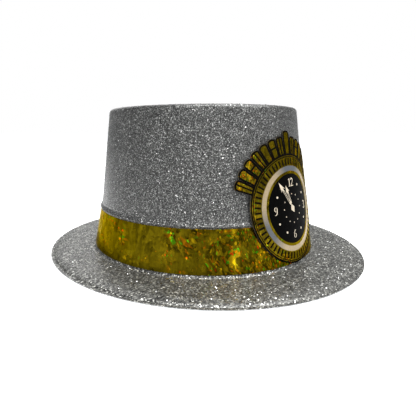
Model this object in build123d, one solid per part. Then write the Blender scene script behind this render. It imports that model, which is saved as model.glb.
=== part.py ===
from build123d import *
from math import atan2, cos, hypot, pi, radians, sin, tan
import os

# New year party hat: a vacuum-formed plastic top hat with a glitter coat, a gold film band and a
# printed clock badge. Millimetres, +Z up, origin at the middle of the plane the brim rests on.
# The badge faces -Y. Every horizontal section is an oval, longer along Y than along X.

# ---- Overall sizes ----
hat_height = 118.8
crown_half_width = 86.25      # the crown's datum oval, just above its ledge: half its X size
crown_half_length = 93.0     # half its Y size
brim_side_reach = 41.0       # from the datum oval out to the brim's edge, along X
brim_end_reach = 47.2        # the same along Y

# ---- Sheet and coat ----
sheet_thickness = 0.6
coat_thickness = 0.3

# ---- Crown ----
crown_top_inset = 9.6       # the wall leans in by this much at the top edge
crown_foot_inset = 0.5       # and by this much where it meets the ledge
top_corner_radius = 3.3

# ---- Ledge over the band ----
ledge_top_z = 39.35
ledge_nose_z = 36.45
ledge_nose_offset = 1.55     # where the nose's two faces would meet, outside the datum oval
ledge_foot_radius = 2.5
ledge_nose_radius = 1.0
ledge_under_radius = 0.4
ledge_band_gap = 0.3         # from the band's top edge up to the inner corner under the nose

# ---- Band ----
band_top_z = 35.2
band_bottom_z = 5.0
band_seat_top_offset = 0.4   # the seat's distance outside the datum oval at the band's two edges
band_seat_bottom_offset = 6.1
band_thickness = 0.2
lap_width = 12.0             # how far the strip's end runs over its start, at the back
lap_step_gap = 0.3           # from the strip's start to the step that climbs over it
tape_thickness = 0.15
tape_edge_gap = 1.0          # the tape stays this far inside the lap on every side

# ---- Brim ----
brim_top_z = 2.9
foot_gap = 0.1               # from the top of the foot's concave curve up to the band's edge
roll_start = 9.0             # distances in from the brim's edge
roll_middle = 3.4
roll_end = 2.2
roll_middle_drop = 1.0
roll_start_radius = 20.0
roll_middle_radius = 3.0
roll_end_radius = 1.0

# ---- Badge ----
badge_bottom_z = 5.3         # the card's lower edge
badge_radius = 39.4
badge_off_centre = -3.1      # the badge is stuck on a little to one side
card_thickness = 0.4
foil_thickness = 0.15
ink_thickness = 0.1
card_gap_low = 0.6           # from the card to the band, near the card's lower edge
card_gap_high = 0.4          # from the card to the crown, at the tip of the longest tab
card_low_rise = 3.0          # height above the card's lower edge where the lower gap is taken

# ---- Badge: printed rim ----
rim_line_width = 1.1
rim_line_gap = 0.6
rim_inner_line_width = 0.6
tick_count = 60
tick_gap = 0.8               # from the inner rim line to the ticks, and from them to the bezel
tick_length = 4.7
tick_width = 1.3

# ---- Badge: clock face ----
bezel_width = 3.7
foil_ring_width = 2.0        # bare foil between the bezel and the dial
hour_mark_inset = 6.3        # from the dial's edge to the ring of hour marks
hour_dot_radius = 0.8
small_dot_inset = 8.4        # from the ring of hour marks to the ring of small dots
small_dot_radius = 0.42
numeral_height = 5.8
minute_tip_inset = 1.1       # from the dial's edge to the minute hand's tip
hour_tip_inset = 6.0         # from there to the hour hand's tip
minute_hand_angle = -35.0    # clockwise from 12
hour_hand_angle = -21.0
hour_under_hands = 11
shaft_half_width = 0.7
shaft_line_width = 0.32      # the printed line on each side of a hand's open shaft
shaft_end_gap = 2.0          # the opening stops this far from the hub and from the head
barb_share = 0.3             # how far the head's barbs run back, in head lengths
minute_head_half_width = 2.1
minute_head_length = 5.6
hour_head_half_width = 2.0
hour_head_length = 4.0
hub_half_length = 3.7
hub_half_width = 2.3
hub_hand_gap = 0.1           # between the hub's print and each hand's

# ---- Badge: arch of ray tabs ----
tab_count = 15
tab_pitch = 9.6              # degrees
tab_length = 13.2            # out from the badge's rim
middle_tab_length = 16.7
tab_base_half_width = 3.1
tab_top_half_width = 3.9
tab_crown_height = 2.4       # the rounded top of a tab
tab_border = 1.2             # black border round a tab's windows
tab_bar_gap = 1.1            # black bar between two windows
tab_root = 1.0               # a tab starts this far inside the badge's rim

# ---- Badge: foam pads ----
pad_half_width = 8.4
pad_side_shift = 16.0
upper_pad_drop = 8.4         # from the top of the badge's disc down to the upper pads
upper_pad_height = 11.0
lower_pad_rise = 9.9        # from the card's lower edge up to the lower pads
lower_pad_height = 8.4

# ---- Sizes that follow ----
badge_centre_z = badge_bottom_z + badge_radius
inner_line_radius = badge_radius - rim_line_width - rim_line_gap
tick_outer_radius = inner_line_radius - rim_inner_line_width - tick_gap
tick_inner_radius = tick_outer_radius - tick_length
bezel_outer_radius = tick_inner_radius - tick_gap
bezel_inner_radius = bezel_outer_radius - bezel_width
dial_radius = bezel_inner_radius - foil_ring_width
hour_mark_radius = dial_radius - hour_mark_inset
small_dot_ring_radius = hour_mark_radius - small_dot_inset
minute_hand_length = dial_radius - minute_tip_inset
hour_hand_length = minute_hand_length - hour_tip_inset
tab_tip_radius = badge_radius + tab_length
middle_tab_tip_radius = badge_radius + middle_tab_length
upper_pad_z = badge_centre_z + badge_radius - upper_pad_drop - upper_pad_height
lower_pad_z = badge_bottom_z + lower_pad_rise

stack_thickness = sheet_thickness + coat_thickness
below_floor = 5.0
arc_steps = 6


# ---- The hat's section ----
# A station is (half size along X, half size along Y, height): one oval of the surface.

def corner_stations(corners, half_width, half_length, depth):
    """Ovals round every inner corner of a section line, pushed depth into the sheet.

    Corners are (distance outside the given oval, z, radius), from the crown's top to the rim."""
    stations = []
    for before, here, after in zip(corners, corners[1:], corners[2:]):
        angle_in = atan2(here[1] - before[1], here[0] - before[0])
        angle_out = atan2(after[1] - here[1], after[0] - here[0])
        turn = angle_out - angle_in
        convex = 1 if turn < 0 else -1
        radius = here[2]
        run = radius * tan(abs(turn) / 2)
        normal = angle_in + pi / 2
        centre_x = here[0] - run * cos(angle_in) - convex * radius * cos(normal)
        centre_z = here[1] - run * sin(angle_in) - convex * radius * sin(normal)
        reach = convex * radius - depth
        for step in range(arc_steps + 1):
            angle = normal + turn * step / arc_steps
            offset = centre_x + reach * cos(angle)
            z = centre_z + reach * sin(angle)
            stations.append((half_width + offset, half_length + offset, z))
    return stations


def seat_offset(z):
    """The band seat's distance outside the datum oval at a height."""
    share = (band_top_z - z) / (band_top_z - band_bottom_z)
    return band_seat_top_offset + share * (band_seat_bottom_offset - band_seat_top_offset)


def wall_offset(z):
    """The crown wall's distance outside the datum oval at a height above the ledge."""
    share = (z - ledge_top_z) / (hat_height - ledge_top_z)
    return -crown_foot_inset - share * (crown_top_inset - crown_foot_inset)


brim_half_width = crown_half_width + brim_side_reach
brim_half_length = crown_half_length + brim_end_reach

# The foot's concave curve starts foot_gap under the band and ends level with the brim.
seat_lean = atan2(band_seat_bottom_offset - band_seat_top_offset, band_top_z - band_bottom_z)
foot_rise = band_bottom_z - foot_gap - brim_top_z
foot_radius = foot_rise / cos(seat_lean) / tan((pi / 2 - seat_lean) / 2)


def section(depth):
    """The hat's ovals from the rim's flat up to the crown's top, at a depth under the glitter."""
    under_nose_z = band_top_z + ledge_band_gap
    foot_offset = seat_offset(brim_top_z)
    crown_line = [
        (-crown_top_inset - 2 * top_corner_radius, hat_height, 0),
        (-crown_top_inset, hat_height, top_corner_radius),
        (-crown_foot_inset, ledge_top_z, ledge_foot_radius),
        (ledge_nose_offset, ledge_nose_z, ledge_nose_radius),
        (seat_offset(under_nose_z), under_nose_z, ledge_under_radius),
        (foot_offset, brim_top_z, foot_radius),
        (foot_offset + 2 * foot_radius, brim_top_z, 0),
    ]
    rim_line = [
        (-roll_start - 2 * roll_middle, brim_top_z, 0),
        (-roll_start, brim_top_z, roll_start_radius),
        (-roll_middle, brim_top_z - roll_middle_drop, roll_middle_radius),
        (-roll_end, stack_thickness, roll_end_radius),
        (0, stack_thickness, 0),
    ]
    stations = corner_stations(crown_line, crown_half_width, crown_half_length, depth)
    stations += corner_stations(rim_line, brim_half_width, brim_half_length, depth)
    return stations[::-1]


def loft_ovals(stations):
    wires = [Wire.make_ellipse(x, y, plane=Plane.XY.offset(z)) for x, y, z in stations]
    return Solid.make_loft(wires, ruled=True)


def form_with_flange(depth, base_z):
    """The hat's filled shape down to base_z, with the flat flange at the brim's edge."""
    flange = [
        (brim_half_width, brim_half_length, base_z),
        (brim_half_width, brim_half_length, stack_thickness - depth),
    ]
    return loft_ovals(flange + section(depth))


def form_to_cut(depth):
    """The filled shape inside the flange, run on below the floor, to hollow the hat with."""
    stations = section(depth)
    lowest = stations[0]
    return loft_ovals([(lowest[0], lowest[1], -below_floor)] + stations)


def seat_form(height, low_z, high_z):
    """A filled cone that stands height outside the band seat."""
    stations = []
    for z in (low_z, high_z):
        offset = seat_offset(z) + height
        stations.append((crown_half_width + offset, crown_half_length + offset, z))
    return loft_ovals(stations)


# ---- The badge's curved surface ----
badge_high_z = badge_centre_z + middle_tab_tip_radius
card_low_z = badge_bottom_z + card_low_rise
card_low_offset = seat_offset(card_low_z) + band_thickness + card_gap_low
card_high_offset = wall_offset(badge_high_z) + card_gap_high
card_lean = (card_low_offset - card_high_offset) / (badge_high_z - card_low_z)
badge_reach_y = crown_half_length + card_low_offset + 10


def card_offset(z, height):
    """How far the badge's surface, height above the card's back, is outside the datum oval."""
    return card_low_offset - card_lean * (z - card_low_z) + height


def badge_form(height):
    margin = 5.0
    stations = []
    for z in (badge_bottom_z - margin, badge_high_z + margin):
        offset = card_offset(z, height)
        stations.append((crown_half_width + offset, crown_half_length + offset, z))
    return loft_ovals(stations)


def wrap(u, z):
    """The X of a point that lies u along the badge's curve from its middle, at height z."""
    half_width = crown_half_width + card_offset(z, card_thickness)
    half_length = crown_half_length + card_offset(z, card_thickness)
    stretch = (half_length / half_width) ** 2 - 1
    angle = u / half_width
    for _ in range(4):
        angle = u / half_width - stretch / 4 * (angle - sin(angle) * cos(angle))
    return half_width * sin(angle)


def flat_spot(u, v):
    """Where a point of the flat badge lands: u across and v up from its centre."""
    z = badge_centre_z + v
    return (wrap(u + badge_off_centre, z), z)


def spot(radius, degrees, side=0.0):
    """The same for a point radius from the centre, degrees clockwise from 12, and side further
    clockwise, square to that."""
    a = radians(degrees)
    return flat_spot(radius * sin(a) + side * cos(a), radius * cos(a) - side * sin(a))


def curve_face(points):
    return make_face(Spline(*points, periodic=True))


def polygon_face(points):
    return make_face(Polyline(*points, close=True))


def disc(radius):
    return curve_face([spot(radius, 360 / 24 * i) for i in range(24)])


def ring(outer_radius, inner_radius):
    return disc(outer_radius) - disc(inner_radius)


def dot(radius, degrees, dot_radius):
    points = []
    for i in range(8):
        a = radians(45 * i)
        points.append(spot(radius + dot_radius * cos(a), degrees, dot_radius * sin(a)))
    return curve_face(points)


def layer(faces, low, high):
    """Prisms of the flat faces, cut to the badge's curve between two heights over the card's back."""
    shell = badge_form(high) - badge_form(low)
    prisms = [extrude(Plane.XZ * face, amount=badge_reach_y) for face in faces]
    solids = []
    for prism in prisms:
        solids += (prism & shell).solids()
    return Compound(children=solids)


# ---- Pieces of the hat ----

def make_shell():
    return form_with_flange(coat_thickness, 0) - form_to_cut(stack_thickness)


def make_coat():
    return form_with_flange(0, sheet_thickness) - form_to_cut(coat_thickness)


def at_the_back(left, right, low, high):
    """A block at the hat's back, between two X values and two heights."""
    deep = crown_half_length + brim_end_reach
    block = Box(right - left, deep, high - low, align=(Align.MIN, Align.MIN, Align.MIN))
    return Pos(left, 0, low) * block


def band_ring(inner_height, outer_height):
    outer = seat_form(outer_height, band_bottom_z, band_top_z)
    return outer - seat_form(inner_height, band_bottom_z - 1, band_top_z + 1)


def make_band():
    half_lap = lap_width / 2
    step_start = half_lap + lap_step_gap
    step_end = step_start + band_thickness + tape_thickness
    over_low = band_thickness + tape_thickness
    over_high = over_low + band_thickness
    slit = at_the_back(half_lap, step_start, 0, hat_height)
    step = at_the_back(step_start, step_end, 0, hat_height)
    flap = at_the_back(-half_lap, step_end, 0, hat_height)
    strip = band_ring(0, band_thickness) - slit
    strip += band_ring(0, over_high) & step
    strip += band_ring(over_low, over_high) & flap
    return strip


def make_tape():
    half = lap_width / 2 - tape_edge_gap
    patch = at_the_back(-half, half, band_bottom_z + tape_edge_gap, band_top_z - tape_edge_gap)
    return band_ring(band_thickness, band_thickness + tape_thickness) & patch


# ---- Pieces of the badge ----

def tab_outline(degrees, tip_radius, border):
    """A tab's outline, or that of its windows' field with a border taken off."""
    base = badge_radius - tab_root + border
    shoulder = tip_radius - tab_crown_height
    low_half = tab_base_half_width - border
    high_half = tab_top_half_width - border
    dome = []
    for i in range(7):
        a = pi * i / 6
        rise = (tab_crown_height - border) * sin(a)
        dome.append(spot(shoulder + rise, degrees, high_half * cos(a)))
    right_base = spot(base, degrees, low_half)
    left_base = spot(base, degrees, -low_half)
    outline = Spline(*dome)
    outline += Polyline(dome[-1], left_base, right_base, dome[0])
    return make_face(outline)


def tab_windows(index, degrees, tip_radius):
    """The gold windows of one tab: in turn one field, two upright fields and two stacked ones."""
    field = tab_outline(degrees, tip_radius, tab_border)
    middle = (badge_radius + tip_radius) / 2
    half = tab_bar_gap / 2
    wide = tab_length
    upright = polygon_face([spot(middle - wide, degrees, -half), spot(middle + wide, degrees, -half),
                            spot(middle + wide, degrees, half), spot(middle - wide, degrees, half)])
    across = polygon_face([spot(middle - half, degrees, -wide), spot(middle + half, degrees, -wide),
                           spot(middle + half, degrees, wide), spot(middle - half, degrees, wide)])
    if index % 3 == 1:
        return field - upright
    if index % 3 == 2:
        return field - across
    return field


tabs = []
for i in range(tab_count):
    place = i - (tab_count - 1) // 2
    tip = middle_tab_tip_radius if place == 0 else tab_tip_radius
    tabs.append((abs(place), place * tab_pitch, tip))


def badge_face():
    face = disc(badge_radius)
    for _, degrees, tip_radius in tabs:
        face += tab_outline(degrees, tip_radius, 0)
    return face


def tab_print_face():
    face = badge_face() - disc(badge_radius)
    for index, degrees, tip_radius in tabs:
        face -= tab_windows(index, degrees, tip_radius)
    return face


def rim_line_faces():
    return [
        ring(badge_radius, badge_radius - rim_line_width),
        ring(inner_line_radius, inner_line_radius - rim_inner_line_width),
    ]


def tick_faces():
    half = tick_width / 2
    faces = []
    for i in range(tick_count):
        degrees = 360 / tick_count * i
        faces.append(polygon_face([
            spot(tick_inner_radius, degrees, -half), spot(tick_outer_radius, degrees, -half),
            spot(tick_outer_radius, degrees, half), spot(tick_inner_radius, degrees, half)]))
    return faces


def glyph_spot(centre, x, y):
    """Where a point of an upright numeral lands: x and y in numeral heights about its centre."""
    return flat_spot(centre[0] + x * numeral_height, centre[1] + y * numeral_height)


def pen_stroke(centre, line):
    """A stroke of changing width: line is (x, y, half width) in numeral heights."""
    left, right = [], []
    for before, here, after in zip(line[:1] + line, line, line[1:] + line[-1:]):
        across, up = after[0] - before[0], after[1] - before[1]
        size = hypot(across, up)
        shift_x, shift_y = -up / size * here[2], across / size * here[2]
        left.append(glyph_spot(centre, here[0] + shift_x, here[1] + shift_y))
        right.append(glyph_spot(centre, here[0] - shift_x, here[1] - shift_y))
    return polygon_face(left + right[::-1])


def bowl(centre, y, half_width, half_height, flip):
    """The closed bowl of a 6 or a 9, with thick sides and a thin top and foot."""
    def oval(scale_x, scale_y):
        angles = [radians(30 * i) for i in range(12)]
        return curve_face([glyph_spot(centre, half_width * scale_x * cos(a),
                                      flip * y + half_height * scale_y * sin(a)) for a in angles])
    return oval(1, 1) - oval(0.6, 0.86)


def arc_pen(x, y, radius_x, radius_y, start, end, thin, thick, count=8):
    """Pen points round an arc, thin at its two ends and thick in its middle."""
    points = []
    for i in range(count + 1):
        a = radians(start + (end - start) * i / count)
        half = thin + (thick - thin) * sin(pi * i / count)
        points.append((x + radius_x * cos(a), y + radius_y * sin(a), half))
    return points


def numeral_one(centre):
    face = pen_stroke(centre, [(0, 0.5, 0.06), (0, -0.5, 0.06)])
    face += pen_stroke(centre, [(-0.2, 0.33, 0.02), (0, 0.45, 0.05)])
    return face + pen_stroke(centre, [(-0.2, -0.47, 0.03), (0.2, -0.47, 0.03)])


def numeral_two(centre):
    hook = arc_pen(0, 0.22, 0.21, 0.25, 165, -25, 0.04, 0.065)
    face = pen_stroke(centre, hook + [(-0.2, -0.42, 0.03)])
    return face + pen_stroke(centre, [(-0.24, -0.44, 0.05), (0.27, -0.44, 0.05)])


def numeral_three(centre):
    face = pen_stroke(centre, arc_pen(-0.02, 0.25, 0.2, 0.22, 150, -85, 0.03, 0.065))
    return face + pen_stroke(centre, arc_pen(-0.02, -0.23, 0.24, 0.24, 85, -150, 0.03, 0.07))


def numeral_six(centre, flip=1):
    tail = arc_pen(0.12, -0.1, 0.34, 0.58, 75, 175, 0.02, 0.055)
    turned = [(flip * x, flip * y, half) for x, y, half in tail]
    return pen_stroke(centre, turned) + bowl(centre, -0.2, 0.27, 0.29, flip)


def numeral_faces():
    side = 0.27 * numeral_height
    mark = hour_mark_radius
    return [
        numeral_one((-side, mark)) + numeral_two((side, mark)),
        numeral_three((mark, 0)),
        numeral_six((0, -mark)),
        numeral_six((-mark, 0), flip=-1),
    ]


def hour_dot_faces():
    """The dots of the hours without a numeral, less the one that the hands are drawn over."""
    hours = [i for i in range(12) if i % 3 and i != hour_under_hands]
    return [dot(hour_mark_radius, 30 * i, hour_dot_radius) for i in hours]


def small_dot_faces():
    hours = [i for i in range(12) if i != hour_under_hands]
    return [dot(small_dot_ring_radius, 30 * i, small_dot_radius) for i in hours]


def hand_face(degrees, length, head_half, head_length):
    """A hand from the hub's edge out to its tip: an open shaft with a barbed arrow head."""
    start = hub_half_length + hub_hand_gap
    neck = length - head_length
    barb = neck - head_length * barb_share
    half = shaft_half_width
    line = [(start, -half), (neck, -half), (barb, -head_half), (length, 0),
            (barb, head_half), (neck, half), (start, half)]
    face = polygon_face([spot(r, degrees, s) for r, s in line])
    inner = half - shaft_line_width
    low, high = start + shaft_end_gap, neck - shaft_end_gap
    gap = [(low, -inner), (high, -inner), (high, inner), (low, inner)]
    return face - polygon_face([spot(r, degrees, s) for r, s in gap])


def hub_face():
    middle = (minute_hand_angle + hour_hand_angle) / 2
    corners = [(hub_half_length, 0), (0, hub_half_width), (-hub_half_length, 0), (0, -hub_half_width)]
    return polygon_face([spot(r, middle, s) for r, s in corners])


def make_pads():
    space = badge_form(0) - form_with_flange(0, sheet_thickness)
    space -= seat_form(band_thickness, band_bottom_z, band_top_z)
    pads = []
    for base_z, height in ((upper_pad_z, upper_pad_height), (lower_pad_z, lower_pad_height)):
        for side in (-1, 1):
            block = Box(2 * pad_half_width, badge_reach_y, height,
                        align=(Align.CENTER, Align.MAX, Align.MIN))
            place = Pos(badge_off_centre + side * pad_side_shift, 0, base_z)
            pads += (space & place * block).solids()
    return Compound(children=pads)


# ---- Heights over the card's back ----
foil_low = card_thickness
print_low = foil_low + foil_thickness
print_high = print_low + ink_thickness
marks_high = print_high + ink_thickness

minute_hand = hand_face(minute_hand_angle, minute_hand_length, minute_head_half_width, minute_head_length)
hour_hand = hand_face(hour_hand_angle, hour_hand_length, hour_head_half_width, hour_head_length)

nodes = {
    "hat_shell": make_shell(),
    "glitter_coat": make_coat(),
    "hat_band": make_band(),
    "band_lap_tape": make_tape(),
    "badge_card": layer([badge_face()], 0, card_thickness),
    "badge_foil": layer([badge_face()], foil_low, print_low),
    "badge_foam_pads": make_pads(),
    "tab_print": layer([tab_print_face()], print_low, print_high),
    "rim_lines": layer(rim_line_faces(), print_low, print_high),
    "rim_ticks": layer(tick_faces(), print_low, print_high),
    "bezel_ring": layer([ring(bezel_outer_radius, bezel_inner_radius)], print_low, print_high),
    "dial_face": layer([disc(dial_radius)], print_low, print_high),
    "dial_numerals": layer(numeral_faces(), print_high, marks_high),
    "hour_dots": layer(hour_dot_faces(), print_high, marks_high),
    "small_dots": layer(small_dot_faces(), print_high, marks_high),
    "minute_hand": layer([minute_hand], print_high, marks_high),
    "hour_hand": layer([hour_hand - minute_hand], print_high, marks_high),
    "hand_hub": layer([hub_face()], print_high, marks_high),
}

os.makedirs("parts", exist_ok=True)
for name, shape in nodes.items():
    export_step(shape, f"parts/{name}.step")
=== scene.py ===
import bpy
import math
import random
from mathutils import Matrix, Vector


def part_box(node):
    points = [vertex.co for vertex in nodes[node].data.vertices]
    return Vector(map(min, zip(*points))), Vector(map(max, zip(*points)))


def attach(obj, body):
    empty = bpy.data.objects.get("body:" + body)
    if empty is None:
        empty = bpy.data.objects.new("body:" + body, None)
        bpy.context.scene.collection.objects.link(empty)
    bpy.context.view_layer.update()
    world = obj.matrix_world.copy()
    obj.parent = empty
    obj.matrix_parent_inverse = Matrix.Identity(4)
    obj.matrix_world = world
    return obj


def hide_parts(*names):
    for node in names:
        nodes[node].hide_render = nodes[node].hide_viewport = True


# New year party hat: the looks of the glitter coat, the film band and the clock badge.
# Metres, +Z up, the badge faces -Y. The frame gives the overall places; the sizes below are the
# details of the hat's section, which are the CAD's too.

MM = 0.001

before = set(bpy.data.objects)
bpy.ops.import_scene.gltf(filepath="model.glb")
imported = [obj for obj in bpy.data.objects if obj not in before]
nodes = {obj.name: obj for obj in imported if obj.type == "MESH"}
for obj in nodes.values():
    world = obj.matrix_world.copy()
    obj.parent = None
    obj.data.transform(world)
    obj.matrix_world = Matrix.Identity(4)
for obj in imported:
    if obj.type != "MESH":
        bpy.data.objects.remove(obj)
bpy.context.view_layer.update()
random.seed(31)

# ---- Places read from the frame ----
COAT_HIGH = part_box("glitter_coat")[1]
BAND_LOW, BAND_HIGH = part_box("hat_band")
BADGE_LOW, BADGE_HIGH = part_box("rim_lines")
HAT_HEIGHT = COAT_HIGH.z
BRIM_HALF_X = COAT_HIGH.x
BRIM_HALF_Y = COAT_HIGH.y
BADGE_CENTRE_X = (BADGE_LOW.x + BADGE_HIGH.x) / 2
BADGE_CENTRE_Z = (BADGE_LOW.z + BADGE_HIGH.z) / 2
BADGE_RADIUS = (BADGE_HIGH.z - BADGE_LOW.z) / 2

# ---- Sheet, coat and film ----
SHEET = 0.6 * MM
COAT = 0.3 * MM
STACK = SHEET + COAT
FILM = 0.2 * MM
TAPE = 0.15 * MM

# ---- Section of the hat, as distances outside the crown's datum oval ----
SEAT_TOP_OFFSET = 0.4 * MM
SEAT_BOTTOM_OFFSET = 6.1 * MM
CROWN_TOP_INSET = 9.6 * MM
CROWN_FOOT_INSET = 0.5 * MM
TOP_CORNER_RADIUS = 3.3 * MM
LEDGE_TOP_Z = 39.35 * MM
LEDGE_NOSE_Z = 36.45 * MM
LEDGE_NOSE_OFFSET = 1.55 * MM
LEDGE_FOOT_RADIUS = 2.5 * MM
LEDGE_NOSE_RADIUS = 1.0 * MM
LEDGE_UNDER_RADIUS = 0.4 * MM
LEDGE_BAND_GAP = 0.3 * MM
BRIM_TOP_Z = 2.9 * MM
FOOT_GAP = 0.1 * MM
ROLL_START = 9.0 * MM
ROLL_MIDDLE = 3.4 * MM
ROLL_END = 2.2 * MM
ROLL_MIDDLE_DROP = 1.0 * MM
ROLL_START_RADIUS = 20.0 * MM
ROLL_MIDDLE_RADIUS = 3.0 * MM
ROLL_END_RADIUS = 1.0 * MM

BAND_TOP_Z = BAND_HIGH.z
BAND_BOTTOM_Z = BAND_LOW.z
DATUM_HALF_X = BAND_HIGH.x - FILM - SEAT_BOTTOM_OFFSET
DATUM_HALF_Y = -BAND_LOW.y - FILM - SEAT_BOTTOM_OFFSET
SEAT_LEAN = math.atan2(SEAT_BOTTOM_OFFSET - SEAT_TOP_OFFSET, BAND_TOP_Z - BAND_BOTTOM_Z)
FOOT_RISE = BAND_BOTTOM_Z - FOOT_GAP - BRIM_TOP_Z
FOOT_RADIUS = FOOT_RISE / math.cos(SEAT_LEAN) / math.tan((math.pi / 2 - SEAT_LEAN) / 2)

# ---- Looks ----
WORLD_STRENGTH = 0.28
FLOOR_GLOW = 0.58          # the camera sees the floor this much brighter than the hat does
FLOOR_BOUNCE = 0.2
OVERHEAD = 31              # watts, as are the next two
SIDE = 1.4
SPARK = 0.4
GLITTER_TONE = (0.106, 0.107, 0.103)
# Painted light: the brim's glitter is the crown's glitter painted lighter, for the overhead light on the
# upward-facing brim.
BRIM_TONE_PAINTED_LIGHTER = (0.183, 0.182, 0.168)
GLITTER_METALLIC = 0.6
GLITTER_ROUGHNESS = 0.5
GLITTER_LEAN = 0.6
GRAIN_LEAN = 0.3
GLITTER_GLUE = 0.4
GLITTER_CELL = 0.5 * MM
GRAIN_CELL = 0.28 * MM
BRIM_COARSER = 0.45        # the brim's pattern runs this share slower, so its flakes are larger
BAND_LEAN = 0.16
BAND_TONE = 0.62
BAND_SHARD = 8 * MM
FOIL_LEAN = 0.18
FOIL_SHARD = 5 * MM

# (turn round the hat as a share, 0.5 at the front; value): painted shade and painted highlight on the film
# and the foil, such as a bright streak down a crease and a darker stretch beside another, and how much of
# them carries painted glints.
BAND_PAINTED_LIGHT = [(0.0, 1.0), (0.26, 0.9), (0.28, 1.1), (0.346, 1.1), (0.357, 0.8), (0.392, 0.95),
              (0.4042, 1.0), (0.407, 3.0), (0.409, 3.0), (0.4125, 0.9), (1.0, 1.0)]
BAND_PAINTED_GLINT_SPREAD = [(0.0, 1.0), (0.2, 0.95), (0.24, 0.65), (0.29, 0.8), (0.35, 0.95), (0.38, 1.05), (0.4, 1.1),
                (0.4083, 1.4), (0.417, 1.1), (0.45, 1.05), (1.0, 1.0)]
FOIL_PAINTED_LIGHT = [(0.0, 1.0), (0.416, 1.0), (0.42, 1.7), (0.427, 1.7), (0.434, 0.9), (0.5, 0.9), (1.0, 1.0)]
FOIL_PAINTED_GLINT_SPREAD = [(0.0, 1.0), (0.41, 1.05), (0.42, 1.35), (0.43, 1.35), (0.44, 1.0), (1.0, 1.0)]

# ---- How finely the meshes are cut ----
RING_SEGMENTS = 256
ARC_STEPS = 8
LID_RINGS = 16
SPAN_STEP = 4.0 * MM       # long straight spans of the section
SHARP_DEGREES = 40


def seat_offset(z):
    share = (BAND_TOP_Z - z) / (BAND_TOP_Z - BAND_BOTTOM_Z)
    return SEAT_TOP_OFFSET + share * (SEAT_BOTTOM_OFFSET - SEAT_TOP_OFFSET)


def corner_stations(corners, half_x, half_y, depth):
    """Ovals (half x, half y, z) round every inner corner of a section line, depth under it."""
    stations = []
    for before, here, after in zip(corners, corners[1:], corners[2:]):
        angle_in = math.atan2(here[1] - before[1], here[0] - before[0])
        turn = math.atan2(after[1] - here[1], after[0] - here[0]) - angle_in
        side = 1 if turn < 0 else -1
        radius = here[2]
        run = radius * math.tan(abs(turn) / 2)
        normal = angle_in + math.pi / 2
        centre_x = here[0] - run * math.cos(angle_in) - side * radius * math.cos(normal)
        centre_z = here[1] - run * math.sin(angle_in) - side * radius * math.sin(normal)
        reach = side * radius - depth
        for step in range(ARC_STEPS + 1):
            angle = normal + turn * step / ARC_STEPS
            offset = centre_x + reach * math.cos(angle)
            stations.append((half_x + offset, half_y + offset, centre_z + reach * math.sin(angle)))
    return stations


def section(depth):
    """The ovals of the hat from the crown's top edge down to the rim's flat."""
    under_z = BAND_TOP_Z + LEDGE_BAND_GAP
    foot = seat_offset(BRIM_TOP_Z)
    crown = [
        (-CROWN_TOP_INSET - 2 * TOP_CORNER_RADIUS, HAT_HEIGHT, 0),
        (-CROWN_TOP_INSET, HAT_HEIGHT, TOP_CORNER_RADIUS),
        (-CROWN_FOOT_INSET, LEDGE_TOP_Z, LEDGE_FOOT_RADIUS),
        (LEDGE_NOSE_OFFSET, LEDGE_NOSE_Z, LEDGE_NOSE_RADIUS),
        (seat_offset(under_z), under_z, LEDGE_UNDER_RADIUS),
        (foot, BRIM_TOP_Z, FOOT_RADIUS),
        (foot + 2 * FOOT_RADIUS, BRIM_TOP_Z, 0),
    ]
    rim = [
        (-ROLL_START - 2 * ROLL_MIDDLE, BRIM_TOP_Z, 0),
        (-ROLL_START, BRIM_TOP_Z, ROLL_START_RADIUS),
        (-ROLL_MIDDLE, BRIM_TOP_Z - ROLL_MIDDLE_DROP, ROLL_MIDDLE_RADIUS),
        (-ROLL_END, STACK, ROLL_END_RADIUS),
        (0, STACK, 0),
    ]
    stations = corner_stations(crown, DATUM_HALF_X, DATUM_HALF_Y, depth)
    return stations + corner_stations(rim, BRIM_HALF_X, BRIM_HALF_Y, depth)


def refine(stations):
    """The same ovals with more between those that lie far apart."""
    finer = [stations[0]]
    for a, b in zip(stations, stations[1:]):
        span = math.hypot(b[1] - a[1], b[2] - a[2])
        cuts = max(1, math.ceil(span / SPAN_STEP))
        for i in range(1, cuts + 1):
            finer.append(tuple(a[k] + (b[k] - a[k]) * i / cuts for k in range(3)))
    return finer


def oval_point(half_x, half_y, z, turn):
    return Vector((half_x * math.sin(turn), -half_y * math.cos(turn), z))


# ---- Mesh helpers ----

def mesh_object(name, vertices, faces, smooth=True):
    mesh = bpy.data.meshes.new(name)
    mesh.from_pydata([tuple(v) for v in vertices], [], faces)
    mesh.validate()
    mesh.update()
    mesh.polygons.foreach_set("use_smooth", [smooth] * len(mesh.polygons))
    piece = bpy.data.objects.new(name, mesh)
    bpy.context.scene.collection.objects.link(piece)
    return piece


def mark_sharp(piece):
    """Edges where the faces turn by more than SHARP_DEGREES shade as edges."""
    limit = math.radians(SHARP_DEGREES)
    mesh = piece.data
    around = {}
    for polygon in mesh.polygons:
        for key in polygon.edge_keys:
            around.setdefault(key, []).append(polygon.normal.copy())
    for edge in mesh.edges:
        sides = around.get(tuple(sorted(edge.vertices)), [])
        if len(sides) == 2 and sides[0].angle(sides[1], 0) > limit:
            edge.use_edge_sharp = True


def dress(piece, material, slot=None):
    piece.data.materials.clear()
    piece.data.materials.append(material)
    if slot:
        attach(piece, "root")


# ---- Materials ----

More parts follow.
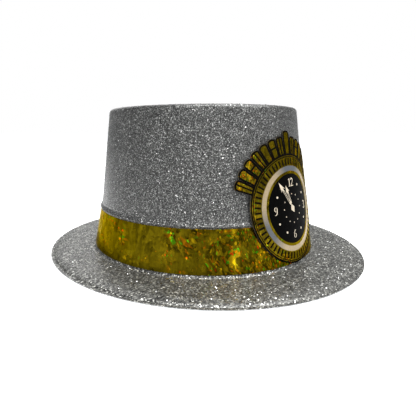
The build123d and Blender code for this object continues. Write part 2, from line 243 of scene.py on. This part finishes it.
class Shade:
    """A node material with a Principled shader, built a step at a time."""

    def __init__(self, name, **constants):
        self.material = bpy.data.materials.new(name)
        self.material.use_nodes = True
        self.tree = self.material.node_tree
        self.tree.nodes.clear()
        self.output = self.add("ShaderNodeOutputMaterial")
        self.shader = self.add("ShaderNodeBsdfPrincipled")
        self.tree.links.new(self.shader.outputs[0], self.output.inputs[0])
        for key, value in constants.items():
            self.shader.inputs[key.replace("_", " ")].default_value = value
        self.place = self.add("ShaderNodeTexCoord").outputs["Object"]

    def add(self, kind, inputs=(), **settings):
        node = self.tree.nodes.new(kind)
        for key, value in settings.items():
            setattr(node, key, value)
        for key, value in dict(inputs).items():
            if isinstance(value, bpy.types.NodeSocket):
                self.tree.links.new(value, node.inputs[key])
            else:
                node.inputs[key].default_value = value
        return node

    def feed(self, socket_name, source):
        self.tree.links.new(source, self.shader.inputs[socket_name])

    def math(self, operation, a, b=0.0, c=0.0):
        return self.add("ShaderNodeMath", {0: a, 1: b, 2: c}, operation=operation).outputs[0]

    def vector(self, operation, a, b=(0, 0, 0)):
        return self.add("ShaderNodeVectorMath", {0: a, 1: b}, operation=operation).outputs[0]

    def scaled(self, vector, scale):
        inputs = {0: vector, "Scale": scale}
        return self.add("ShaderNodeVectorMath", inputs, operation="SCALE").outputs[0]

    def stretched(self, place, scale, rotation=(0, 0, 0)):
        inputs = {"Vector": place, "Rotation": rotation, "Scale": scale}
        return self.add("ShaderNodeMapping", inputs).outputs[0]

    def turn_share(self, across, along):
        """The angle from along towards across as a share of a turn, with 0.5 for no angle."""
        return self.math("MULTIPLY_ADD", self.math("ARCTAN2", across, along), 1 / (2 * math.pi), 0.5)

    def cells(self, size, place=None):
        """A random colour for each cell."""
        node = self.add("ShaderNodeTexVoronoi", {"Vector": place or self.place, "Scale": 1 / size})
        return node.outputs["Color"]

    def noise(self, size, detail=2.0, place=None):
        node = self.add("ShaderNodeTexNoise", {"Vector": place or self.place, "Scale": 1 / size,
                                               "Detail": detail})
        return node.outputs[0]

    def ramp(self, value, stops, constant=False):
        node = self.add("ShaderNodeValToRGB", {"Fac": value})
        ramp = node.color_ramp
        ramp.interpolation = "CONSTANT" if constant else "LINEAR"
        while len(ramp.elements) < len(stops):
            ramp.elements.new(0.5)
        for element, (position, colour) in zip(ramp.elements, stops):
            element.position = position
            grey = (colour, colour, colour) if isinstance(colour, (int, float)) else colour
            element.color = (*grey, 1.0)
        return node.outputs[0]

    def mix(self, share, a, b, blend="MIX"):
        node = self.add("ShaderNodeMix", {0: share, 6: a, 7: b}, data_type="RGBA", blend_type=blend)
        return node.outputs[2]

    def channel(self, colour, index):
        return self.add("ShaderNodeSeparateColor", {0: colour}).outputs[index]

    def tilted(self, *tilts):
        """The surface's normal, leaned by a random direction for every (cell colour, strength)."""
        normal = self.add("ShaderNodeNewGeometry").outputs["Normal"]
        for colour, strength in tilts:
            lean = self.vector("SUBTRACT", colour, (0.5, 0.5, 0.5))
            normal = self.vector("ADD", normal, self.scaled(lean, strength))
        return self.vector("NORMALIZE", normal)

    def bump(self, height, distance, strength):
        inputs = {"Height": height, "Distance": distance, "Strength": strength}
        return self.add("ShaderNodeBump", inputs).outputs[0]


def glitter_material():
    """Silver flakes about half a millimetre across in clear glue, each leaning its own way. The brightest
    flakes are painted glints, and the brim is painted lighter than the crown for the light that falls on it
    from above.
    """
    shade = Shade("silver_glitter", Metallic=GLITTER_METALLIC, Coat_Weight=GLITTER_GLUE, Coat_Roughness=0.28)
    height = shade.add("ShaderNodeSeparateXYZ", {0: shade.place}).outputs[2]
    low = shade.math("LESS_THAN", height, BAND_BOTTOM_Z + 1 * MM)
    place = shade.scaled(shade.place, shade.math("MULTIPLY_ADD", low, -BRIM_COARSER, 1.0))
    flake = shade.cells(GLITTER_CELL, place)
    grain = shade.cells(GRAIN_CELL, place)
    # Each flake's own tone, with the brightest flakes painted glints: near-white flakes that stand in for
    # sparkles of light.
    bright = shade.ramp(shade.channel(flake, 0), [
        (0.0, 0.15), (0.5, 0.65), (0.84, 1.6), (0.94, 3.4), (1.0, 5.5)])
    fine = shade.ramp(shade.channel(grain, 1), [(0.0, 0.6), (1.0, 1.4)])
    patches = shade.ramp(shade.noise(14 * MM, 3), [(0.3, 0.92), (0.7, 1.08)])
    colour = shade.mix(1.0, bright, fine, "MULTIPLY")
    colour = shade.mix(1.0, colour, patches, "MULTIPLY")
    # Painted light: below the band the brim takes the lighter tone, for the light that falls on it from
    # above.
    tone = shade.mix(low, (*GLITTER_TONE, 1.0), (*BRIM_TONE_PAINTED_LIGHTER, 1.0))
    shade.feed("Base Color", shade.mix(1.0, colour, tone, "MULTIPLY"))
    shade.feed("Roughness", shade.ramp(shade.channel(flake, 2), [
        (0.0, GLITTER_ROUGHNESS), (0.9, 0.8 * GLITTER_ROUGHNESS), (1.0, 0.25)]))
    shade.feed("Normal", shade.tilted((flake, GLITTER_LEAN), (grain, GRAIN_LEAN)))
    return shade.material


def flake_material():
    """The larger flakes that lie on top: bright silver film with a faint cut grain."""
    shade = Shade("loose_flakes", Metallic=1.0)
    tone = shade.cells(1.6 * MM)
    shade.feed("Base Color", shade.ramp(shade.channel(tone, 0), [
        (0.0, (0.35, 0.35, 0.35)), (0.8, (0.6, 0.6, 0.59)), (1.0, (0.9, 0.9, 0.88))]))
    shade.feed("Roughness", shade.ramp(shade.channel(tone, 1), [(0.0, 0.14), (1.0, 0.34)]))
    return shade.material


def holographic_material(name, shard, lean, golds, painted_glint_limits, painted_light_ramp, painted_glint_spread):
    """Gold holographic film: broad calm facets with fine upright streaks, and patches of
    small shards that each have another colour, the brightest of them painted glints. Painted shade
    and painted highlight, and how much of the film carries the painted glints, go round the hat."""
    shade = Shade(name, Metallic=1.0, Specular_Tint=(1.0, 0.8, 0.25, 1.0))
    sway = shade.add("ShaderNodeTexNoise", {"Vector": shade.place, "Scale": 1 / (2.2 * shard)})
    warp = shade.vector("SUBTRACT", sway.outputs["Color"], (0.5, 0.5, 0.5))
    place = shade.vector("ADD", shade.place, shade.scaled(warp, 1.1 * shard))
    slanted = shade.stretched(place, (1.0, 2.1, 0.7), (0.5, 0.9, 0.4))
    crossed = shade.stretched(place, (2.3, 0.8, 1.2), (-0.7, 0.3, 1.2))
    upright = shade.stretched(shade.place, (1, 1, 0.06))
    large = shade.cells(shard, slanted)
    small = shade.cells(0.35 * shard, crossed)
    speck = shade.cells(0.2 * shard, crossed)
    facets = shade.math("MULTIPLY_ADD", shade.channel(large, 0), 0.6, 0.2)
    gold = shade.ramp(facets, [(0.0, golds[0]), (1.0, golds[1])])
    streaks = shade.ramp(shade.noise(1.5 * MM, 3, upright), [(0.3, 0.8), (0.7, 1.2)])
    gold = shade.mix(1.0, gold, streaks, "MULTIPLY")
    # Each shard's own tone and hue, the brightest of them painted glints.
    shards = shade.ramp(shade.channel(small, 0), [
        (0.0, (0.45, 0.45, 0.45)), (0.3, (0.85, 0.85, 0.85)), (0.52, (1.25, 1.2, 1.1)),
        (0.74, (1.8, 1.6, 1.1)), (0.87, (2.3, 1.1, 0.9)), (0.93, (0.6, 2.2, 1.8)),
        (0.965, (3.4, 3.0, 1.6))], constant=True)
    # Painted glints: small specks much brighter than the film, in yellow, green, red and white.
    painted_speck_glints = shade.ramp(shade.channel(speck, 2), [
        (0.0, (0.9, 0.9, 0.9)), (0.68, (1.2, 1.15, 1.0)), (0.91, (2.8, 1.9, 0.8)),
        (0.95, (0.5, 3.4, 3.0)), (0.973, (4.6, 0.6, 1.0)), (0.987, (6.5, 5.5, 2.5))], constant=True)
    parts = shade.add("ShaderNodeSeparateXYZ", {0: shade.place}).outputs
    share = shade.turn_share(parts[0], shade.math("MULTIPLY", parts[1], -1.0))
    # Painted shade and painted highlight round the hat: a bright streak down one crease, darker stretches
    # beside others.
    gold = shade.mix(1.0, gold, shade.ramp(share, painted_light_ramp), "MULTIPLY")
    # Where round the hat the painted glints of shards and specks show.
    painted_glint_amount = shade.channel(shade.ramp(share, painted_glint_spread), 0)
    patches = shade.math("MULTIPLY", shade.noise(16 * MM, 3), painted_glint_amount)
    gold_with_painted_glints = shade.mix(1.0, gold, shade.mix(1.0, shards, painted_speck_glints, "MULTIPLY"), "MULTIPLY")
    painted_glint_share = shade.ramp(patches, [(painted_glint_limits[0], 0.0), (painted_glint_limits[1], 1.0)])
    shade.feed("Base Color", shade.mix(shade.channel(painted_glint_share, 0), gold, gold_with_painted_glints))
    shade.feed("Roughness", shade.ramp(shade.channel(small, 1), [(0.0, 0.26), (1.0, 0.42)]))
    shade.feed("Normal", shade.tilted((large, lean), (small, 0.5 * lean), (speck, 0.4 * lean)))
    return shade.material


def pvc_material():
    """The hat's bare plastic: smooth, a little orange-peeled, with faint forming streaks."""
    shade = Shade("shell_pvc", Roughness=0.34)
    streaks = shade.noise(9 * MM, 4, shade.stretched(shade.place, (1, 1, 0.15)))
    shade.feed("Base Color", shade.ramp(streaks, [(0.3, (0.50, 0.51, 0.52)), (0.7, (0.60, 0.61, 0.62))]))
    shade.feed("Normal", shade.bump(shade.noise(1.6 * MM, 3), 0.05 * MM, 0.5))
    return shade.material


def ink_material(name, dark, light, roughness, gloss):
    """Printed ink with a faint screen grain."""
    shade = Shade(name, Specular_IOR_Level=gloss, IOR=1.2)
    grain = shade.noise(0.5 * MM, 3)
    shade.feed("Base Color", shade.ramp(grain, [(0.3, dark), (0.75, light)]))
    rub = shade.noise(3 * MM, 2)
    shade.feed("Roughness", shade.ramp(rub, [(0.3, roughness - 0.06), (0.7, roughness + 0.06)]))
    shade.feed("Normal", shade.bump(grain, 0.01 * MM, 0.4))
    return shade.material


def bezel_material():
    """The ring round the dial, printed as turned metal: a sweep of beige and blue-grey."""
    shade = Shade("bezel_print", Metallic=0.35)
    parts = shade.add("ShaderNodeSeparateXYZ", {0: shade.place}).outputs
    up = shade.math("SUBTRACT", parts[2], BADGE_CENTRE_Z)
    across = shade.math("SUBTRACT", parts[0], BADGE_CENTRE_X)
    share = shade.turn_share(across, up)
    beige, deep, blue = (0.46, 0.36, 0.22), (0.26, 0.20, 0.12), (0.12, 0.13, 0.145)
    sweep = shade.ramp(share, [
        (0.0, beige), (0.07, beige), (0.14, blue), (0.19, blue), (0.27, beige), (0.40, beige),
        (0.47, blue), (0.54, blue), (0.62, beige), (0.74, deep), (0.82, beige), (1.0, beige)])
    rub = shade.ramp(shade.noise(0.7 * MM, 4), [(0.3, 0.82), (0.7, 1.1)])
    shade.feed("Base Color", shade.mix(1.0, sweep, rub, "MULTIPLY"))
    shade.feed("Roughness", shade.ramp(shade.noise(2 * MM, 2), [(0.3, 0.3), (0.7, 0.42)]))
    return shade.material


def soft_material(name, dark, light, size):
    """Card, foam and tape: matt with a fine open grain."""
    shade = Shade(name, Roughness=0.85)
    grain = shade.noise(size, 4)
    shade.feed("Base Color", shade.ramp(grain, [(0.3, dark), (0.7, light)]))
    shade.feed("Normal", shade.bump(grain, 0.1 * MM, 0.6))
    return shade.material


# ---- The coat ----

def coat_rings():
    """The coat's outer face as rings of points, from the crown's middle to the rim."""
    outer = section(0)
    first = outer[0]
    lid = []
    for i in range(1, LID_RINGS):
        share = i / LID_RINGS
        lid.append((first[0] * share, first[1] * share, HAT_HEIGHT))
    edge = (BRIM_HALF_X, BRIM_HALF_Y, STACK)
    return lid + refine(outer + [edge])


def ring_points(station):
    half_x, half_y, z = station
    return [oval_point(half_x, half_y, z, 2 * math.pi * i / RING_SEGMENTS) for i in range(RING_SEGMENTS)]


def bridge(faces, first, second):
    """Quads between two rings, given by the index of their first points."""
    for i in range(RING_SEGMENTS):
        j = (i + 1) % RING_SEGMENTS
        faces.append((first + i, second + i, second + j, first + j))


def make_coat():
    """A closed skin: the outer face, the rim's edge and the face that lies on the sheet."""
    outer = coat_rings()
    inner = refine(section(COAT) + [(BRIM_HALF_X, BRIM_HALF_Y, SHEET)])
    vertices, faces = [], []
    vertices.append(Vector((0, 0, HAT_HEIGHT)))
    for station in outer:
        vertices += ring_points(station)
    for i in range(RING_SEGMENTS):
        faces.append((0, 1 + i, 1 + (i + 1) % RING_SEGMENTS))
    for k in range(len(outer) - 1):
        bridge(faces, 1 + k * RING_SEGMENTS, 1 + (k + 1) * RING_SEGMENTS)
    start = len(vertices)
    for station in inner[::-1]:
        vertices += ring_points(station)
    bridge(faces, start - RING_SEGMENTS, start)
    for k in range(len(inner) - 1):
        bridge(faces, start + k * RING_SEGMENTS, start + (k + 1) * RING_SEGMENTS)
    last = len(vertices) - RING_SEGMENTS
    vertices.append(Vector((0, 0, HAT_HEIGHT - COAT)))
    for i in range(RING_SEGMENTS):
        faces.append((last + RING_SEGMENTS, last + (i + 1) % RING_SEGMENTS, last + i))
    piece = mesh_object("coat", vertices, faces)
    mark_sharp(piece)
    return piece


# ---- Loose flakes ----
FLAKE_COUNT = 8600
FLAKE_RADIUS = (0.24 * MM, 0.48 * MM)
FLAKE_THICKNESS = 0.05 * MM
FLAKE_TILT = math.radians(30)
FLAKE_RISE = 0.10 * MM     # a flake's middle over the coat
CROWN_SKIP = 0.5           # the share of the crown's flakes that is left out
TAB_REACH = 17 * MM        # the ray tabs stand this far out from the badge's rim
TAB_RISE = 8 * MM          # and this far or more above the badge's centre
BAND_MARGIN = 0.5 * MM     # no flake lies this near to the band
BADGE_MARGIN = 1 * MM      # flakes may lie this far under the badge's edge


def under_a_cover(point, station_z):
    """True where the band or the badge hides the coat."""
    if BAND_BOTTOM_Z - BAND_MARGIN < station_z < BAND_TOP_Z + BAND_MARGIN:
        return True
    if point.y > 0:
        return False
    away = math.hypot(point.x - BADGE_CENTRE_X, point.z - BADGE_CENTRE_Z)
    reach = BADGE_RADIUS + (TAB_REACH if point.z > BADGE_CENTRE_Z + TAB_RISE else 0)
    return point.z > BAND_BOTTOM_Z and away < reach - BADGE_MARGIN


def make_flakes():
    """Closed six-sided flakes scattered over the coat, leaning at random."""
    rings = coat_rings()
    spans = []
    total = 0.0
    for a, b in zip(rings, rings[1:]):
        size = math.hypot(b[1] - a[1], b[2] - a[2]) * (a[0] + a[1] + b[0] + b[1])
        total += size
        spans.append((total, a, b))
    vertices, faces = [], []
    placed = 0
    while placed < FLAKE_COUNT:
        pick = random.random() * total
        _, a, b = next(span for span in spans if span[0] >= pick)
        share = random.random()
        station = tuple(a[k] + (b[k] - a[k]) * share for k in range(3))
        turn = random.uniform(0, 2 * math.pi)
        point = oval_point(*station, turn)
        on_brim = station[2] < BAND_BOTTOM_Z
        if under_a_cover(point, station[2]) or (not on_brim and random.random() < CROWN_SKIP):
            continue
        along = oval_point(*b, turn) - oval_point(*a, turn)
        around = oval_point(*station, turn + 0.01) - point
        normal = along.cross(around).normalized()
        lean = Matrix.Rotation(random.uniform(0, FLAKE_TILT), 3, around.normalized())
        spin = Matrix.Rotation(random.uniform(0, 2 * math.pi), 3, normal)
        up = (spin @ lean @ normal).normalized()
        side = up.orthogonal().normalized()
        other = up.cross(side)
        radius = random.uniform(*FLAKE_RADIUS)
        middle = point + normal * FLAKE_RISE
        start = len(vertices)
        for level in (FLAKE_THICKNESS / 2, -FLAKE_THICKNESS / 2):
            for i in range(6):
                angle = math.pi * i / 3
                spoke = side * math.cos(angle) + other * math.sin(angle)
                vertices.append(middle + up * level + radius * spoke)
        faces.append(tuple(start + i for i in range(6)))
        faces.append(tuple(start + 11 - i for i in range(6)))
        for i in range(6):
            j = (i + 1) % 6
            faces.append((start + j, start + i, start + 6 + i, start + 6 + j))
        placed += 1
    return mesh_object("glitter_flakes", vertices, faces, smooth=False)


# ---- The band ----
BAND_STEPS = 900
BAND_ROWS = 14
LAP = 12.0 * MM
LAP_RAMP = 4.0 * MM
BAND_CREASES = ((-110, 0.3), (-79, 0.25), (-51, 0.25), (-33, 0.4), (-14, 0.15), (28, 0.3), (62, 0.25),
                (97, 0.3), (128, 0.35), (-155, 0.25))   # (degrees from the front, depth in mm)
CREASE_WIDTH = 1.3 * MM
CREASE_LEAN = 2.2          # degrees from a crease's foot to its top
SLACK = 0.06 * MM
SLACK_WAVES = 9            # round the hat
HEM_STEEPNESS = 6          # the film comes down to its seat over a sixth of its height at each edge


def band_lift(degrees, height_share):
    """How far the film stands off its seat: shallow upright creases, and a slack in between."""
    lift = 0.0
    for place, depth in BAND_CREASES:
        gap = (degrees - place + 180) % 360 - 180
        lean = CREASE_LEAN * (height_share - 0.5)
        away = math.radians(gap + lean) * DATUM_HALF_Y / CREASE_WIDTH
        lift += depth * MM * math.exp(-away * away)
    slack = SLACK * (1 + math.sin(math.radians(degrees) * SLACK_WAVES + 3 * height_share))
    return lift + slack


def make_band():
    """One strip of film that starts at the back, goes round and laps over its own start."""
    girth = math.pi * (DATUM_HALF_X + DATUM_HALF_Y)
    lap_turn = 2 * math.pi * LAP / girth
    ramp_turn = 2 * math.pi * LAP_RAMP / girth
    first_turn = math.pi - lap_turn / 2
    whole = 2 * math.pi + lap_turn
    vertices, faces = [], []
    for i in range(BAND_STEPS + 1):
        run = whole * i / BAND_STEPS
        turn = first_turn + run
        climb = min(1.0, max(0.0, (run - (2 * math.pi - ramp_turn)) / ramp_turn))
        climb = climb * climb * (3 - 2 * climb) * (FILM + TAPE)
        degrees = math.degrees(turn)
        flat = 1.0 if lap_turn + ramp_turn < run < 2 * math.pi - ramp_turn else 0.0
        for level in (0, FILM):
            for k in range(BAND_ROWS + 1):
                share = k / BAND_ROWS
                z = BAND_BOTTOM_Z + (BAND_TOP_Z - BAND_BOTTOM_Z) * share
                rise = min(1, share * HEM_STEEPNESS, (1 - share) * HEM_STEEPNESS)
                hem = math.sin(math.pi * rise / 2)
                lift = climb + level + flat * hem * band_lift(degrees, share)
                offset = seat_offset(z) + lift
                vertices.append(oval_point(DATUM_HALF_X + offset, DATUM_HALF_Y + offset, z, turn))
    row = BAND_ROWS + 1
    column = 2 * row
    for i in range(BAND_STEPS):
        a, b = i * column, (i + 1) * column
        for k in range(BAND_ROWS):
            faces.append((a + k, a + k + 1, b + k + 1, b + k))
            faces.append((a + row + k, b + row + k, b + row + k + 1, a + row + k + 1))
        faces.append((a, b, b + row, a + row))
        faces.append((a + row - 1, a + 2 * row - 1, b + 2 * row - 1, b + row - 1))
    for start, flip in ((0, 1), (BAND_STEPS * column, -1)):
        for k in range(BAND_ROWS):
            quad = (start + k, start + row + k, start + row + k + 1, start + k + 1)
            faces.append(quad[::flip])
    piece = mesh_object("band_film", vertices, faces)
    mark_sharp(piece)
    return piece


# ---- Camera ----
CAMERA_PLACE = Vector((-0.23335, -0.21782, 0.09996))
CAMERA_TARGET = Vector((0, 0, 0.0558))
CAMERA_ROLL = math.radians(-0.08)
CAMERA_LENS = 30.473
CAMERA_SHIFT = (0.0163, -0.0661)


def make_camera():
    data = bpy.data.cameras.new("camera")
    data.lens = CAMERA_LENS
    data.sensor_width = 36.0
    data.shift_x, data.shift_y = CAMERA_SHIFT
    data.clip_start = 0.01
    camera = bpy.data.objects.new("camera", data)
    bpy.context.scene.collection.objects.link(camera)
    camera.location = CAMERA_PLACE
    aim = (CAMERA_TARGET - CAMERA_PLACE).to_track_quat("-Z", "Y").to_matrix()
    camera.rotation_euler = (aim @ Matrix.Rotation(CAMERA_ROLL, 3, "Z")).to_euler()
    bpy.context.scene.camera = camera


# ---- Stage and light ----
FLOOR_RADIUS = 30.0
FLOOR_SIDES = 64
FLOOR_DROP = 0.1 * MM      # under the brim, so that the two don't share a plane


def area_light(name, place, target, size, power):
    data = bpy.data.lights.new(name, "AREA")
    data.shape = "DISK"
    data.size = size
    data.energy = power
    light = bpy.data.objects.new(name, data)
    bpy.context.scene.collection.objects.link(light)
    light.location = place
    light.rotation_euler = (Vector(target) - Vector(place)).to_track_quat("-Z", "Y").to_euler()


def make_world():
    """White behind the hat, and a dimmer white all round it as light."""
    world = bpy.data.worlds.new("studio")
    world.use_nodes = True
    tree = world.node_tree
    tree.nodes.clear()
    output = tree.nodes.new("ShaderNodeOutputWorld")
    mix = tree.nodes.new("ShaderNodeMixShader")
    path = tree.nodes.new("ShaderNodeLightPath")
    around = tree.nodes.new("ShaderNodeBackground")
    behind = tree.nodes.new("ShaderNodeBackground")
    around.inputs["Color"].default_value = (0.96, 0.98, 1.0, 1)
    around.inputs["Strength"].default_value = WORLD_STRENGTH
    behind.inputs["Strength"].default_value = 1.0
    behind.inputs["Color"].default_value = (1, 1, 1, 1)
    tree.links.new(path.outputs["Is Camera Ray"], mix.inputs[0])
    tree.links.new(around.outputs[0], mix.inputs[1])
    tree.links.new(behind.outputs[0], mix.inputs[2])
    tree.links.new(mix.outputs[0], output.inputs[0])
    bpy.context.scene.world = world


def make_floor():
    """A pale paper floor, lit a little from behind, that is seen from above only."""
    points = []
    for i in range(FLOOR_SIDES):
        turn = 2 * math.pi * i / FLOOR_SIDES
        points.append((FLOOR_RADIUS * math.sin(turn), FLOOR_RADIUS * math.cos(turn), -FLOOR_DROP))
    floor = mesh_object("floor", points, [tuple(range(FLOOR_SIDES))[::-1]])
    shade = Shade("floor_paper", Roughness=0.9, Specular_IOR_Level=0.0, Emission_Color=(1, 1, 1, 1))
    seen = shade.add("ShaderNodeLightPath").outputs["Is Camera Ray"]
    shade.feed("Emission Strength", shade.math("MULTIPLY_ADD", seen, FLOOR_GLOW, FLOOR_BOUNCE))
    shade.feed("Base Color", shade.ramp(shade.noise(60 * MM, 2), [(0.3, 0.93), (0.7, 0.95)]))
    clear = shade.add("ShaderNodeBsdfTransparent").outputs[0]
    behind = shade.add("ShaderNodeNewGeometry").outputs["Backfacing"]
    both = shade.add("ShaderNodeMixShader", {0: behind, 1: shade.shader.outputs[0], 2: clear})
    shade.tree.links.new(both.outputs[0], shade.output.inputs[0])
    floor.data.materials.append(shade.material)


make_camera()
make_world()
make_floor()
area_light("overhead", (0.1, -0.3, 1.3), (0, 0, 0), 1.5, OVERHEAD)
area_light("left_front", (-1.3, -0.6, 0.75), (0, 0, 0.06), 0.9, 0.7 * SIDE)
area_light("right_front", (0.7, -1.4, 0.8), (0, 0, 0.06), 0.8, SIDE)
area_light("back", (0.6, 1.3, 0.8), (0, 0, 0.08), 0.9, 2 * SIDE)
area_light("spark_left", (-0.9, -0.1, 0.8), (0, 0, 0.06), 0.07, 0.6 * SPARK)
area_light("spark_front", (-0.3, -0.9, 0.7), (0, 0, 0.06), 0.07, SPARK)
area_light("spark_camera", (-0.75, -0.55, 0.55), (0, 0, 0.06), 0.06, SPARK)
bpy.context.scene.view_settings.view_transform = "Standard"

# ---- Pieces ----
coat = make_coat()
dress(coat, glitter_material(), "silver_glitter")
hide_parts("glitter_coat")

flakes = make_flakes()
dress(flakes, flake_material(), "silver_glitter")

band = make_band()
gold_low = tuple(BAND_TONE * part for part in (0.155, 0.115, 0.003))
gold_high = tuple(BAND_TONE * part for part in (0.27, 0.20, 0.005))
band_film = holographic_material("holographic_band", BAND_SHARD, BAND_LEAN, (gold_low, gold_high),
                                 (0.40, 0.54), BAND_PAINTED_LIGHT, BAND_PAINTED_GLINT_SPREAD)
dress(band, band_film, "holographic_band")
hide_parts("hat_band")

black = ink_material("black_ink", (0.002, 0.0015, 0.001), (0.005, 0.004, 0.003), 0.5, 0.06)
cream = ink_material("cream_ink", (0.62, 0.54, 0.41), (0.76, 0.68, 0.54), 0.45, 0.3)
finishes = {
    "hat_shell": pvc_material(),
    "band_lap_tape": soft_material("clear_tape", (0.70, 0.68, 0.60), (0.80, 0.78, 0.70), 1.5 * MM),
    "badge_card": soft_material("card", (0.05, 0.045, 0.035), (0.09, 0.08, 0.06), 0.6 * MM),
    "badge_foam_pads": soft_material("foam", (0.66, 0.66, 0.64), (0.80, 0.80, 0.78), 0.5 * MM),
    "badge_foil": holographic_material("holographic_foil", FOIL_SHARD, FOIL_LEAN,
                                       ((0.07, 0.05, 0.003), (0.24, 0.175, 0.007)), (0.48, 0.6),
                                       FOIL_PAINTED_LIGHT, FOIL_PAINTED_GLINT_SPREAD),
    "tab_print": black,
    "rim_lines": black,
    "rim_ticks": black,
    "bezel_ring": bezel_material(),
    "dial_face": ink_material("dial_ink", (0.001, 0.001, 0.001), (0.003, 0.003, 0.003), 0.45, 0.06),
    "dial_numerals": cream,
    "hour_dots": cream,
    "small_dots": cream,
    "minute_hand": cream,
    "hour_hand": cream,
    "hand_hub": cream,
}
for name, finish in finishes.items():
    dress(nodes[name], finish)
